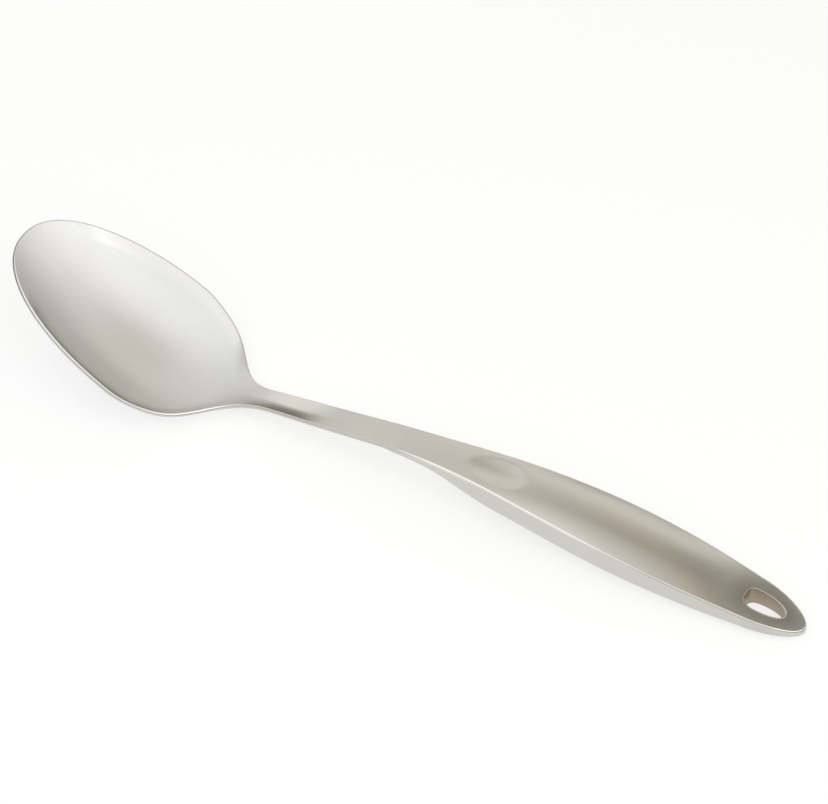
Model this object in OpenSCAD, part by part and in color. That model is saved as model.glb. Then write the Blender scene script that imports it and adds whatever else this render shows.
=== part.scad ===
// Serving spoon in stainless steel: a pressed bowl and stem, whose tang is welded
// into a hollow handle made of a top shell, a boat-shaped bottom shell and a hang-hole sleeve.
// X runs from the tip of the bowl to the end of the handle, Y across, Z up from the table.

/* [Bowl] */
// Length of the bowl from its tip to the neck
bowl_length = 97; // [85:1:110]
// Width of the bowl across its rim
bowl_width = 66.6; // [54:0.2:80]
// Depth of the bowl below its rim
bowl_depth = 15; // [9:0.5:18]
// Height of the rim at the tip above the table
tip_height = 46; // [36:1:56]
// Height of the two edges at the neck above the table
neck_height = 6.4; // [5:0.2:9]
// Thickness of the sheet that the bowl and stem are pressed from
sheet = 1.6; // [1.2:0.1:2.2]

/* [Stem] */
// Length of the stem from the neck to the mouth of the handle
stem_length = 71; // [55:1:90]
// Width of the stem at its narrowest
stem_width = 10.4; // [8:0.2:13]
// Depth of the creased channel in the stem behind the bowl
stem_channel = 1.5; // [0.6:0.1:2]
// Length over which the underside of the stem steps down to the tang
joggle_length = 6; // [4:0.5:10]
// Length of the tang inside the handle
tang_length = 24; // [12:1:25]

/* [Handle] */
// Length of the handle from its mouth to its end
handle_length = 163; // [140:1:185]
// Width of the handle at its widest
handle_width = 27.2; // [23:0.2:32]
// Width of the handle at its mouth
mouth_width = 13.4; // [12:0.2:16]
// Height of the edges at the mouth above the table
mouth_height = 17; // [14:0.5:20]
// Height of the edges at the top of the handle's arch above the table
arch_height = 18.9; // [17:0.1:22]
// Height of the edge at the end of the handle above the table
end_height = 3.4; // [2.6:0.1:5]
// Length of the rounded end, in plan
end_round = 20; // [14:1:26]
// Depth of the bottom shell below the edges, where it is deepest
hull_depth = 13.6; // [11:0.2:15]
// Depth of the bottom shell at the end of the handle
end_depth = 2.9; // [2.2:0.1:4]
// Rise of the top shell's crown above the edges
crown = 1.9; // [0.5:0.1:3]
// Thickness of the two handle shells
shell = 0.8; // [0.5:0.1:1]
// Set-back of the top shell's edge, which the seam weld fills
seam_setback = 0.5; // [0.3:0.05:0.7]

/* [Thumb dimple] */
// Distance from the mouth of the handle to the dimple
dimple_start = 26.5; // [26:0.5:34]
// Length of the dimple
dimple_length = 24.5; // [18:0.5:34]
// Distance from the dimple's start to its deepest place
dimple_lead = 15; // [9:0.5:16]
// Width of the dimple
dimple_width = 14.2; // [8:0.2:16]
// Depth of the dimple
dimple_depth = 1.3; // [0.5:0.1:2.4]

/* [Hang hole] */
// Length of the hang hole
hole_length = 15.4; // [12:0.2:19]
// Width of the hang hole where it is widest
hole_width = 9; // [7:0.2:11]
// Distance from the blunt end of the hole, towards the bowl, to its widest place
hole_lead = 4.8; // [3.6:0.2:6]
// Distance from the narrow end of the hole to the end of the handle
hole_to_end = 8.2; // [6.8:0.1:10]
// Wall of the sleeve that lines the hole
sleeve_wall = 0.8; // [0.5:0.1:1]

/* [Fits] */
// Clearance between the tang and the shells, and round the sleeve
fit_gap = 0.1; // [0.05:0.01:0.15]
// Length of the fillet weld under the mouth of the handle
weld_length = 2.4; // [1.5:0.1:4]

/* [Hidden] */

// Mesh steps: across a sheet, along the tip, along the bowl's back and stem, along the tang,
// along the handle, round the bottom shell and round the hole
across = 18;
tip_steps = 18;
stem_steps = 36;
tang_steps = 6;
handle_steps = 32;
hull_sides = 20;
hole_steps = 20;
edge_arcs = [45, 90, 135];
lip_arcs = [0, 30, 60, 90];

// Stations along the spoon
mouth_x = bowl_length + stem_length;
end_x = mouth_x + handle_length;
widest_share = 0.6;
widest_x = widest_share * bowl_length;

// Shares of the bowl's length and half width from its widest place to the neck, the first one mirrored
bowl_back_shares = [[0.48, 0.92], [widest_share, 1], [0.72, 0.92], [0.835, 0.71], [0.93, 0.4]];
// Shares of the stem's length and half width
stem_side_shares = [[0, 1.5], [0.085, 1.1], [0.21, 1], [0.53, 1.12]];
// Shares of the handle's length and half width, before the end is rounded
handle_side_shares = [[0.136, 0.6], [0.29, 0.79], [0.444, 0.95], [0.6, 1], [0.753, 0.915], [0.883, 0.76],
    [1, 0.63]];
// Roundness of the bowl's tip in plan
tip_power_share = 0.455;

// Shares of the bowl's length and of the rise from neck to tip
rim_shares = [[0, 1], [0.2, 0.757], [0.41, 0.51], [0.6, 0.282], [0.72, 0.138], [0.835, 0.035], [0.93, 0]];
// Shares of the stem's length and of the rise from neck to mouth
stem_rise_shares = [[0, 0], [0.127, 0.16], [0.32, 0.37], [0.68, 0.7]];
// Shares of the handle's length and of the rise from its end to the top of the arch
arch_shares = [[0.13, 0.975], [0.23, 1], [0.35, 0.95], [0.5, 0.825], [0.63, 0.665], [0.753, 0.49],
    [0.88, 0.285], [0.945, 0.158], [1, 0]];

// Shares of the bowl's length and depth
bowl_dish_shares = [[0, 0], [0.1, 0.37], [0.2, 0.65], [0.31, 0.87], [0.41, 0.98], [0.5, 1], [0.6, 0.94],
    [0.72, 0.67], [0.835, 0.36], [0.93, 0.16]];
// Shares of the stem's length and channel depth
stem_dish_shares = [[0.02, 0.55], [0.12, 0.65], [0.3, 1], [0.42, 0.84], [0.53, 0.48], [0.66, 0.19],
    [0.8, 0.05], [0.95, 0]];
// Shares of the handle's length and crown
crown_shares = [[0.08, 0.17], [0.2, 0.35], [0.32, 0.71], [0.45, 1], [0.58, 1], [0.67, 0.92], [0.74, 0.66],
    [0.8, 0.3], [0.85, 0.06], [0.89, 0], [0.95, 0], [1, 0]];
// Powers of the sections: bowl and crown, creased channel, bottom shell, the dimple's edge
// and the hole's two ends
dish_power = 2.2;
channel_power = 1.2;
hull_power = 4;
dimple_power = 1.25;
oval_power = 2;
blunt_power = 3;

// Shares of the stem's length and of the way from the dished section to the creased one
crease_shares = [[-0.1, 0], [0.12, 1], [0.66, 1], [1, 0]];
// Shares of the handle's length and of the bottom shell's depth, from the mouth on
hull_shares = [[0.04, 0.33], [0.085, 0.62], [0.13, 0.81], [0.2, 0.895], [0.33, 0.975], [0.46, 1],
    [0.59, 0.955], [0.69, 0.855], [0.79, 0.715], [0.88, 0.555], [0.945, 0.415]];

dimple_x = mouth_x + dimple_start + dimple_lead;
hole_x = end_x - hole_to_end - hole_length + hole_lead;
hole_turns = [for (k = [0:2 * hole_steps - 1]) 180 * k / hole_steps];
step_share = 0.00002;
step = step_share * end_x;
tang_sheet = sheet - 2 * fit_gap;
tang_width = mouth_width - 2 * (shell + fit_gap) - sheet;
mouth_depth = shell + sheet + fit_gap + shell;

// Second slopes that let a curve through points p pass without a kink
function sweep(p, i = 1, c = [0], d = [0]) =
    i == len(p) - 1 ? [c, d] :
    let (
        before = p[i].x - p[i - 1].x,
        after = p[i + 1].x - p[i].x,
        m = 2 * (before + after) - before * c[i - 1],
        bend = 6 * ((p[i + 1].y - p[i].y) / after - (p[i].y - p[i - 1].y) / before)
    )
    sweep(p, i + 1, concat(c, [after / m]), concat(d, [(bend - before * d[i - 1]) / m]));

function unsweep(s, i, m) = i < 0 ? m : unsweep(s, i - 1, concat([s[1][i] - s[0][i] * m[0]], m));

function smooth(p) = [p, unsweep(sweep(p), len(p) - 2, [0])];

// Value at x of a curve made by smooth()
function span(p, x, i = 0) = i >= len(p) - 2 || x < p[i + 1].x ? i : span(p, x, i + 1);

function curve(c, x) =
    let (
        p = c[0],
        i = span(p, x),
        h = p[i + 1].x - p[i].x,
        b = (x - p[i].x) / h,
        a = 1 - b
    )
    a * p[i].y + b * p[i + 1].y + ((a * a * a - a) * c[1][i] + (b * b * b - b) * c[1][i + 1]) * h * h / 6;

// Points of a curve from shares of a length and of a size
function points(shares, x, length, base, size) = [for (s = shares) [x + s[0] * length, base + s[1] * size]];

side_curve = smooth(concat(
    points(bowl_back_shares, 0, bowl_length, 0, bowl_width / 2),
    points(stem_side_shares, bowl_length, stem_length, 0, stem_width / 2),
    [[mouth_x, mouth_width / 2]],
    points(handle_side_shares, mouth_x, handle_length, 0, handle_width / 2)
));
edge_curve = smooth(concat(
    points(rim_shares, 0, bowl_length, neck_height, tip_height - neck_height),
    points(stem_rise_shares, bowl_length, stem_length, neck_height, mouth_height - neck_height),
    [[mouth_x, mouth_height]],
    points(arch_shares, mouth_x, handle_length, end_height, arch_height - end_height)
));
dish_curve = smooth(concat(
    points(bowl_dish_shares, 0, bowl_length, 0, bowl_depth),
    points(stem_dish_shares, bowl_length, stem_length, 0, stem_channel),
    points(crown_shares, mouth_x, handle_length, 0, -crown)
));
hull_curve = smooth(concat(
    [[mouth_x, mouth_depth]],
    points(hull_shares, mouth_x, handle_length, 0, hull_depth),
    [[end_x, end_depth]]
));

// Half width of the outline in plan, round at the tip and at the end
function end_factor(x) = x > end_x - end_round ? sqrt(max(0, 1 - pow(1 - (end_x - x) / end_round, 2))) : 1;

function half_width(x) =
    x < widest_x ? bowl_width / 2 * pow(1 - pow(1 - x / widest_x, 2), tip_power_share) :
    curve(side_curve, x) * end_factor(x);

function unit(v) = v / norm(v);

// Outward direction of the outline in plan, and the outline's point set in by a distance
function outward(x) =
    x <= step ? [-1, 0] : x >= end_x - step ? [1, 0] :
    unit([(half_width(x - step) - half_width(x + step)) / (2 * step), 1]);

function inset(x, d) = [x, half_width(x)] - d * outward(x);

// Depth of the thumb dimple, which slopes down from the bowl's side and is steeper towards the end
function dimple(x, y) =
    let (
        reach = x < dimple_x ? dimple_lead : dimple_length - dimple_lead,
        r = pow((x - dimple_x) / reach, 2) + pow(y / (dimple_width / 2), 2)
    )
    dimple_depth * pow(max(0, 1 - r), dimple_power);

// Power of the section at x, which turns from a dish to a crease and back along the stem
section_powers = points(crease_shares, bowl_length, stem_length, dish_power, channel_power - dish_power);

// Height of the upper surface of bowl, stem and handle, and its upward normal
function height(x, y) =
    let (w = half_width(x), u = w > 0 ? abs(y) / w : 0)
    curve(edge_curve, x) - curve(dish_curve, x) * (1 - pow(u, lookup(x, section_powers))) - dimple(x, y);

function slope(x, y) =
    let (c = min(max(x, 2 * step), end_x - 2 * step))
    [height(c + step, y) - height(c - step, y), height(c, y + step) - height(c, y - step)] / (2 * step);

function normal(g) = unit([-g.x, -g.y, 1]);

// Height of the bottom shell's rim, and of its outer underside
function rim_height(x) = let (p = inset(x, seam_setback)) height(p.x, p.y) - shell;

function hull_bottom(x, y) =
    let (w = half_width(x), u = w > 0 ? min(1, abs(y) / w) : 0)
    rim_height(x) - (curve(hull_curve, x) - shell) * pow(1 - pow(u, hull_power), 1 / hull_power);

// Ring of a sheet: left edge, top from left to right, right edge, underside back again
function sheet_ring(top, down, radius, out) =
    let (
        n = len(top) - 1,
        left = [for (a = edge_arcs) top[0][0] + edge_offset(top[0], a, down, radius, [out.x, -out.y])],
        right = [for (a = edge_arcs) top[n][0] + edge_offset(top[n], a, down, radius, out)]
    )
    concat(
        [left[1], left[0]],
        [for (t = top) t[0]],
        right,
        [for (j = [n:-1:0]) top[j][0] - down * top[j][1]],
        [left[2]]
    );

// Point of the rounded edge at angle a from the top, for a point with its normal and slope
function edge_offset(t, a, down, radius, out) =
    let (o = unit([out.x, out.y, t[2] * out]))
    -down / 2 * t[1] + down / 2 * cos(a) * t[1] + radius * sin(a) * o;

// Share of the joggle before the mouth, and the thickness of the sheet, which grows there
function joggle_share(x) =
    let (s = min(1, max(0, (x - mouth_x + joggle_length) / joggle_length)))
    s * s * (3 - 2 * s);

function sheet_at(x) = sheet + (shell + fit_gap) * joggle_share(x);

function blade_ring(x) =
    let (p = inset(x, sheet / 2), upright = 1 - joggle_share(x))
    sheet_ring(
        [for (j = [0:across])
            let (y = p.y * (2 * j / across - 1), g = slope(p.x, y))
            [[p.x, y, height(p.x, y)], normal([g.x * upright, g.y]), g]],
        sheet_at(x), sheet / 2, outward(x)
    );

function tang_ring(x) =
    let (g = [0, 0])
    sheet_ring(
        [for (j = [0:across])
            let (y = tang_width * (j / across - 1 / 2))
            [[x, y, height(x, y) - shell - fit_gap], normal(g), g]],
        tang_sheet, tang_sheet / 2, [0, 1]
    );

blade_stations = concat(
    [for (k = [0:tip_steps - 1]) widest_x * (1 - cos(90 * k / tip_steps))],
    [for (k = [0:stem_steps]) widest_x + (mouth_x - widest_x) * k / stem_steps]
);
blade_rings = concat(
    [for (x = blade_stations) blade_ring(x)],
    [for (k = [0:tang_steps]) tang_ring(mouth_x + tang_length * k / tang_steps)]
);
handle_stations = concat(
    [for (k = [0:handle_steps - 1]) mouth_x + (handle_length - end_round) * k / handle_steps],
    [for (k = [0:handle_steps / 4]) end_x - end_round + end_round * sin(90 * k / (handle_steps / 4))]
);

// The spoon rests on the table, with its middle over the origin
front_x = min([for (p = blade_rings[0]) p.x]);
floor_z = min([for (r = blade_rings) for (p = r) p.z]);
place = [-(front_x + end_x) / 2, 0, -floor_z];

// Triangles between rings of equal length
function between(n, rows, wrap) = [
    for (i = [0:rows - 1 - (wrap ? 0 : 1)], j = [0:n - 1])
        let (
            a = i * n + j,
            b = i * n + (j + 1) % n,
            c = (i + 1) % rows * n + (j + 1) % n,
            d = (i + 1) % rows * n + j
        )
        each [[a, b, c], [a, c, d]]
];

// Triangles across one ring, from each point to the one opposite.
// A ring with a tip of 1 begins at a single point, one with a tip of 0 at the end of a flat side.
function across_ring(n, first, tip, flip) = [
    for (i = [0:n / 2 - 2 + tip])
        let (
            a = first + i,
            b = first + i + 1,
            c = first + (n - 2 + tip - i) % n,
            d = first + (n - 1 + tip - i) % n
        )
        each flip ? [[a, c, b], [a, d, c]] : [[a, b, c], [a, c, d]]
];

// Solid through a row of rings, without the triangles that close to a line
module loft(rings, cap_start = false, cap_end = false, wrap = false, tip = 1) {
    n = len(rings[0]);
    pts = [for (r = rings) each r];
    faces = concat(
        between(n, len(rings), wrap),
        cap_start ? across_ring(n, 0, tip, true) : [],
        cap_end ? across_ring(n, (len(rings) - 1) * n, tip, false) : []
    );
    polyhedron(
        pts,
        [for (f = faces) if (pts[f[0]] != pts[f[1]] && pts[f[1]] != pts[f[2]] && pts[f[2]] != pts[f[0]]) f]
    );
}

// Point of the hang hole's outline at turn a, grown by a distance:
// half an oval towards the end of the handle, and a blunter half towards the bowl
function hole_edge(a, grow) =
    let (
        blunt = cos(a) < 0,
        reach = [blunt ? hole_lead : hole_length - hole_lead, hole_width / 2],
        bend = 2 / (blunt ? blunt_power : oval_power),
        way = [sign(cos(a)), sign(sin(a))],
        part = [abs(cos(a)), abs(sin(a))],
        out = unit([for (i = [0, 1]) way[i] * pow(part[i], 2 - bend) / reach[i]])
    )
    [hole_x, 0] + [for (i = [0, 1]) way[i] * reach[i] * pow(part[i], bend)] + grow * out;

module hole_cut()
    translate([0, 0, -arch_height])
        linear_extrude(3 * arch_height)
            polygon([for (a = hole_turns) hole_edge(a, sleeve_wall + fit_gap)]);

module bowl_and_stem()
    color("silver")
        translate(place)
            loft(blade_rings, cap_end = true);

function top_shell_ring(x) =
    let (
        p = inset(x, seam_setback),
        top = [for (j = [0:across]) let (y = p.y * (2 * j / across - 1)) [p.x, y, height(p.x, y)]]
    )
    concat(top, [for (j = [across:-1:0]) top[j] - [0, 0, shell]]);

module handle_top_shell()
    color("gainsboro")
        translate(place)
            difference() {
                loft([for (x = handle_stations) top_shell_ring(x)], cap_start = true, tip = 0);
                hole_cut();
            }

// Half section of the bottom shell, from the left rim under the keel to the right rim
function hull_row(x, w, rim, depth) = [
    for (j = [0:hull_sides])
        let (
            a = 180 * j / hull_sides,
            y = w == 0 ? 0 : -w * sign(cos(a)) * pow(abs(cos(a)), 2 / hull_power)
        )
        [x, y, rim - depth * pow(sin(a), 2 / hull_power)]
];

function bottom_shell_ring(x) =
    let (
        p = inset(x, shell),
        rim = rim_height(x),
        depth = curve(hull_curve, x) - shell,
        outer = hull_row(x, half_width(x), rim, depth),
        inner = hull_row(p.x, p.y, rim, depth - shell)
    )
    concat(inner, [for (j = [hull_sides:-1:0]) outer[j]]);

module handle_bottom_shell()
    color("darkgray")
        translate(place)
            difference() {
                loft([for (x = handle_stations) bottom_shell_ring(x)], cap_start = true, tip = 0);
                hole_cut();
            }

// Section of the sleeve at turn a: rounded lips at the top and bottom faces
function sleeve_ring(a) =
    let (
        o = hole_edge(a, sleeve_wall),
        high = height(o.x, o.y),
        low = hull_bottom(o.x, o.y),
        lip = [for (b = lip_arcs)
            let (q = hole_edge(a, sleeve_wall * (1 - sin(b))))
            [q.x, q.y, sleeve_wall * (1 - cos(b))]]
    )
    concat(
        [for (q = lip) [q.x, q.y, high - q.z]],
        [for (i = [len(lip) - 1:-1:0]) [lip[i].x, lip[i].y, low + lip[i].z]]
    );

module hang_hole_sleeve()
    color("dimgray")
        translate(place)
            loft([for (a = hole_turns) sleeve_ring(a)], wrap = true);

// Section of the seam weld at x on one side: it fills the step between the two shells' edges
function seam_ring(x, side) =
    let (
        p = inset(x, seam_setback),
        rim = rim_height(x)
    )
    concat(
        [[p.x, side * p.y, rim]],
        [for (i = [len(lip_arcs) - 1:-1:0])
            let (b = lip_arcs[i], q = inset(x, seam_setback * (1 - sin(b))))
            [q.x, side * q.y, rim + shell * cos(b)]]
    );

module edge_seam_weld()
    color("whitesmoke")
        translate(place)
            loft(concat(
                [for (x = handle_stations) seam_ring(x, -1)],
                [for (i = [len(handle_stations) - 2:-1:0]) seam_ring(handle_stations[i], 1)]
            ), cap_start = true, cap_end = true);

// Section of the fillet weld under the mouth at y
function fillet_ring(y) =
    let (
        back = mouth_x - weld_length,
        root = height(mouth_x, y) - sheet_at(mouth_x),
        toe = height(back, y) - sheet_at(back),
        low = hull_bottom(mouth_x, y)
    )
    [[back, y, toe], [(back + mouth_x) / 2, y, (2 * toe + low) / 3], [mouth_x, y, low], [mouth_x, y, root]];

module neck_weld()
    color("lightgray")
        translate(place)
            loft(
                [for (j = [0:across]) fillet_ring(tang_width * (j / across - 1 / 2))],
                cap_start = true, cap_end = true
            );

bowl_and_stem();
handle_top_shell();
handle_bottom_shell();
hang_hole_sleeve();
edge_seam_weld();
neck_weld();
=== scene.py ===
"""Serving spoon of satin stainless steel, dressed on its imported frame."""

from __future__ import annotations

import logging
import math
from collections.abc import Sequence
from dataclasses import dataclass, field
from enum import Enum
from functools import cached_property

import bmesh
import bpy
import numpy as np
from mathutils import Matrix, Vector


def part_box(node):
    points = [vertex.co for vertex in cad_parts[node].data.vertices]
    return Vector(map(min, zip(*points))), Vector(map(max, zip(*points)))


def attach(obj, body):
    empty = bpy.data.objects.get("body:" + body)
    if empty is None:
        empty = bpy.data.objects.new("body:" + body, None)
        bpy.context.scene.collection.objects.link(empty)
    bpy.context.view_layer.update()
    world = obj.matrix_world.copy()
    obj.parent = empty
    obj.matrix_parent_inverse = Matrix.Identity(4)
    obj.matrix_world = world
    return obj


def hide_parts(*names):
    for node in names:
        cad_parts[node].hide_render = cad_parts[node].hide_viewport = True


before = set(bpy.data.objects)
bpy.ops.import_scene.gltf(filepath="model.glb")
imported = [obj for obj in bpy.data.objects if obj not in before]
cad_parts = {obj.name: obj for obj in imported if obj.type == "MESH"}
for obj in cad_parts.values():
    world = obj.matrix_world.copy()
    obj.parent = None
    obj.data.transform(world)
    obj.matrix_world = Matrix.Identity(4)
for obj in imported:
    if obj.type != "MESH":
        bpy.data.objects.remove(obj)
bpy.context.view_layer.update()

Array = np.ndarray
Shares = Sequence[tuple[float, float]]
Place = tuple[float, float, float]
Tree = bpy.types.NodeTree
Socket = bpy.types.NodeSocket

MM = 0.001
BODY = "root"
IMAGE_WIDTH = 828
QUARTER_TURN = math.pi / 2
# Height of the studio's ceiling, in metres.
CEILING = 0.8
# Steps of a curve, and of the hole's outline, that are only read between their points.
FINE_STEPS = 400
ROUND_STEPS = 720
# Points closer than this many millimetres become one.
MERGE_GAP = 0.002
# Share of the brush lines in a finish's play of colour; the broad clouds have the rest.
STREAK_SHARE = 0.6
# Values between which nearly all of a noise pattern lies.
NOISE_RANGE = (0.25, 0.75)
# Cloths in front of the lamps: most are white, some have yellowed.
WHITE_CLOTH = "#FFFFFF"
CREAM_CLOTH = "#FFFBF1"
WARM_CLOTH = "#FFF2D6"
log = logging.getLogger("serving_spoon")


def linear(colour: str) -> tuple[float, float, float, float]:
    """Turn an sRGB hex colour into linear RGBA.

    Args:
        colour: Hex colour such as "#D6D4CE".

    Returns:
        Red, green, blue and alpha, as shader sockets take them.
    """
    digits = colour.lstrip("#")
    channels = [int(digits[i : i + 2], 16) / 255 for i in (0, 2, 4)]
    red, green, blue = (
        c / 12.92 if c <= 0.04045 else ((c + 0.055) / 1.055) ** 2.4 for c in channels
    )
    return red, green, blue, 1.0


def add_node(
    tree: Tree,
    kind: str,
    settings: dict[str | int, object] | None = None,
    links: dict[str | int, Socket] | None = None,
) -> bpy.types.Node:
    """Add one shader node with its settings and the links that come into it.

    Args:
        tree: Node tree that takes the node.
        kind: Type of the node.
        settings: Values by the name of an attribute, or by the name or number of an input.
        links: Output sockets by the name or number of the input that they feed.

    Returns:
        The new node.
    """
    node = tree.nodes.new(kind)
    for name, value in (settings or {}).items():
        if isinstance(name, int) or name in node.inputs:
            node.inputs[name].default_value = value
        else:
            setattr(node, name, value)
    for name, socket in (links or {}).items():
        tree.links.new(socket, node.inputs[name])
    return node


@dataclass(frozen=True)
class Spline:
    """Natural cubic curve through points, in millimetres."""

    xs: Array
    ys: Array
    bends: Array

    @classmethod
    def through(cls, *runs: Shares) -> Spline:
        """Fit the curve through runs of points that follow each other.

        Args:
            runs: Lists of points with rising x.

        Returns:
            The curve, with no bend at its two ends.
        """
        xs, ys = np.array([point for run in runs for point in run], float).T
        gaps = np.diff(xs)
        rises = np.diff(ys) / gaps
        inner = np.diag(2 * (gaps[:-1] + gaps[1:]))
        inner = inner + np.diag(gaps[1:-1], 1) + np.diag(gaps[1:-1], -1)
        bends = np.zeros(len(xs))
        bends[1:-1] = np.linalg.solve(inner, 6 * np.diff(rises))
        return cls(xs, ys, bends)

    def at(self, x: Array) -> Array:
        """Give the curve's height.

        Args:
            x: Places along the curve.

        Returns:
            One value for each place.
        """
        i = np.clip(np.searchsorted(self.xs, x, side="right") - 1, 0, len(self.xs) - 2)
        gap = self.xs[i + 1] - self.xs[i]
        b = (x - self.xs[i]) / gap
        a = 1 - b
        bend = (a**3 - a) * self.bends[i] + (b**3 - b) * self.bends[i + 1]
        return a * self.ys[i] + b * self.ys[i + 1] + bend * gap**2 / 6


def stretched(shares: Shares, start: float, length: float, base: float, size: float) -> Shares:
    """Turn shares of a length and of a size into points.

    Args:
        shares: Pairs of a share of the length and a share of the size.
        start: Place where the length begins.
        length: The length.
        base: Value at a share of nothing.
        size: The size.

    Returns:
        Points in millimetres.
    """
    return [(start + along * length, base + share * size) for along, share in shares]


def unit(vectors: Array) -> Array:
    """Scale vectors on the last axis to a length of one."""
    return vectors / np.linalg.norm(vectors, axis=-1, keepdims=True)


@dataclass(frozen=True)
class SpoonForm:
    """Sizes of the spoon in millimetres, and the surfaces that follow from them.

    X runs from the tip of the bowl to the end of the handle, Y across, Z up from the table.
    The setback of the seam, the reach of the rim's rounding, the lip and the front of the hull
    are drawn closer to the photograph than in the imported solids.
    """

    bowl_length: float = 97.0
    bowl_width: float = 66.6
    bowl_depth: float = 15.0
    tip_height: float = 46.0
    neck_height: float = 6.4
    sheet: float = 1.6
    stem_length: float = 71.0
    stem_width: float = 10.4
    stem_channel: float = 1.5
    joggle_length: float = 6.0
    tang_length: float = 24.0
    handle_length: float = 163.0
    handle_width: float = 27.2
    mouth_width: float = 13.4
    mouth_height: float = 17.0
    arch_height: float = 18.9
    end_height: float = 3.4
    end_round: float = 20.0
    hull_depth: float = 13.6
    end_depth: float = 2.9
    crown: float = 1.9
    shell: float = 0.8
    seam_setback: float = 0.8
    dimple_start: float = 26.5
    dimple_length: float = 24.5
    dimple_lead: float = 15.0
    dimple_width: float = 14.2
    dimple_depth: float = 1.3
    hole_length: float = 15.4
    hole_width: float = 9.0
    hole_lead: float = 4.8
    hole_to_end: float = 8.2
    sleeve_wall: float = 0.8
    fit_gap: float = 0.1
    weld_length: float = 2.4
    rim_reach: float = 0.4
    lip_rise: float = 0.6
    lip_width: float = 2.2
    lip_run: float = 24.0
    widest_share: float = 0.6
    slope_share: float = 2e-5
    tip_power: float = 0.455
    dish_power: float = 2.2
    channel_power: float = 1.2
    lip_power: float = 1.5
    hull_power: float = 4.0
    dimple_power: float = 1.25
    oval_power: float = 2.0
    blunt_power: float = 3.0

    @property
    def mouth_x(self) -> float:
        """Place of the handle's mouth."""
        return self.bowl_length + self.stem_length

    @property
    def end_x(self) -> float:
        """Place of the handle's end."""
        return self.mouth_x + self.handle_length

    @property
    def widest_x(self) -> float:
        """Place where the bowl is widest."""
        return self.widest_share * self.bowl_length

    @property
    def step(self) -> float:
        """Small length over which slopes are measured."""
        return self.slope_share * self.end_x

    @property
    def hole_x(self) -> float:
        """Place where the hang hole is widest."""
        return self.end_x - self.hole_to_end - self.hole_length + self.hole_lead

    @property
    def hole_middle(self) -> float:
        """Middle of the hang hole's length."""
        return self.end_x - self.hole_to_end - self.hole_length / 2

    @property
    def tang_width(self) -> float:
        """Width of the tang between its rounded edges."""
        return self.mouth_width - 2 * (self.shell + self.fit_gap) - self.sheet

    def on_bowl(self, shares: Shares, base: float, size: float) -> Shares:
        """Points over the length of the bowl."""
        return stretched(shares, 0, self.bowl_length, base, size)

    def on_stem(self, shares: Shares, base: float, size: float) -> Shares:
        """Points over the length of the stem."""
        return stretched(shares, self.bowl_length, self.stem_length, base, size)

    def on_handle(self, shares: Shares, base: float, size: float) -> Shares:
        """Points over the length of the handle."""
        return stretched(shares, self.mouth_x, self.handle_length, base, size)

    @cached_property
    def side(self) -> Spline:
        """Half width of the outline behind the bowl's widest place.

        Returns:
            The curve along X.
        """
        bowl = [(0.48, 0.92), (0.6, 1), (0.72, 0.92), (0.835, 0.71), (0.93, 0.4)]
        stem = [(0, 1.5), (0.085, 1.1), (0.21, 1), (0.53, 1.12)]
        grip = [(0.136, 0.6), (0.29, 0.79), (0.444, 0.95), (0.6, 1)]
        tail = [(0.753, 0.915), (0.883, 0.76), (1, 0.63)]
        return Spline.through(
            self.on_bowl(bowl, 0, self.bowl_width / 2),
            self.on_stem(stem, 0, self.stem_width / 2),
            [(self.mouth_x, self.mouth_width / 2)],
            self.on_handle(grip + tail, 0, self.handle_width / 2),
        )

    @cached_property
    def edge(self) -> Spline:
        """Height of the two long edges above the table.

        Returns:
            The curve along X.
        """
        tip = [(0, 1), (0.2, 0.757), (0.41, 0.51), (0.6, 0.282)]
        heel = [(0.72, 0.138), (0.835, 0.035), (0.93, 0)]
        stem = [(0, 0), (0.127, 0.16), (0.32, 0.37), (0.68, 0.7)]
        arch = [(0.13, 0.975), (0.23, 1), (0.35, 0.95), (0.5, 0.825), (0.63, 0.665)]
        tail = [(0.753, 0.49), (0.88, 0.285), (0.945, 0.158), (1, 0)]
        return Spline.through(
            self.on_bowl(tip + heel, self.neck_height, self.tip_height - self.neck_height),
            self.on_stem(stem, self.neck_height, self.mouth_height - self.neck_height),
            [(self.mouth_x, self.mouth_height)],
            self.on_handle(arch + tail, self.end_height, self.arch_height - self.end_height),
        )

    @cached_property
    def dish(self) -> Spline:
        """Depth of the middle below the edges, less than nothing on the handle's crown.

        Returns:
            The curve along X.
        """
        front = [(0, 0), (0.1, 0.37), (0.2, 0.65), (0.31, 0.87), (0.41, 0.98)]
        back = [(0.5, 1), (0.6, 0.94), (0.72, 0.67), (0.835, 0.36), (0.93, 0.16)]
        neck = [(0.02, 0.55), (0.12, 0.65), (0.3, 1), (0.42, 0.84)]
        stem = [(0.53, 0.48), (0.66, 0.19), (0.8, 0.05), (0.95, 0)]
        rise = [(0.08, 0.17), (0.2, 0.35), (0.32, 0.71), (0.45, 1)]
        fall = [(0.58, 1), (0.67, 0.92), (0.74, 0.66), (0.8, 0.3)]
        pad = [(0.85, 0.06), (0.89, 0), (0.95, 0), (1, 0)]
        return Spline.through(
            self.on_bowl(front + back, 0, self.bowl_depth),
            self.on_stem(neck + stem, 0, self.stem_channel),
            self.on_handle(rise + fall + pad, 0, -self.crown),
        )

    @cached_property
    def hull(self) -> Spline:
        """Depth of the bottom shell below the edges.

        Returns:
            The curve along X.
        """
        swell = [(0.04, 0.3), (0.085, 0.385), (0.13, 0.55), (0.2, 0.83), (0.33, 0.96), (0.46, 1)]
        back = [(0.59, 0.955), (0.69, 0.855), (0.79, 0.715), (0.88, 0.555), (0.945, 0.415)]
        return Spline.through(
            [(self.mouth_x, 2 * self.shell + self.sheet + self.fit_gap)],
            self.on_handle(swell + back, 0, self.hull_depth),
            [(self.end_x, self.end_depth)],
        )

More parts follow.
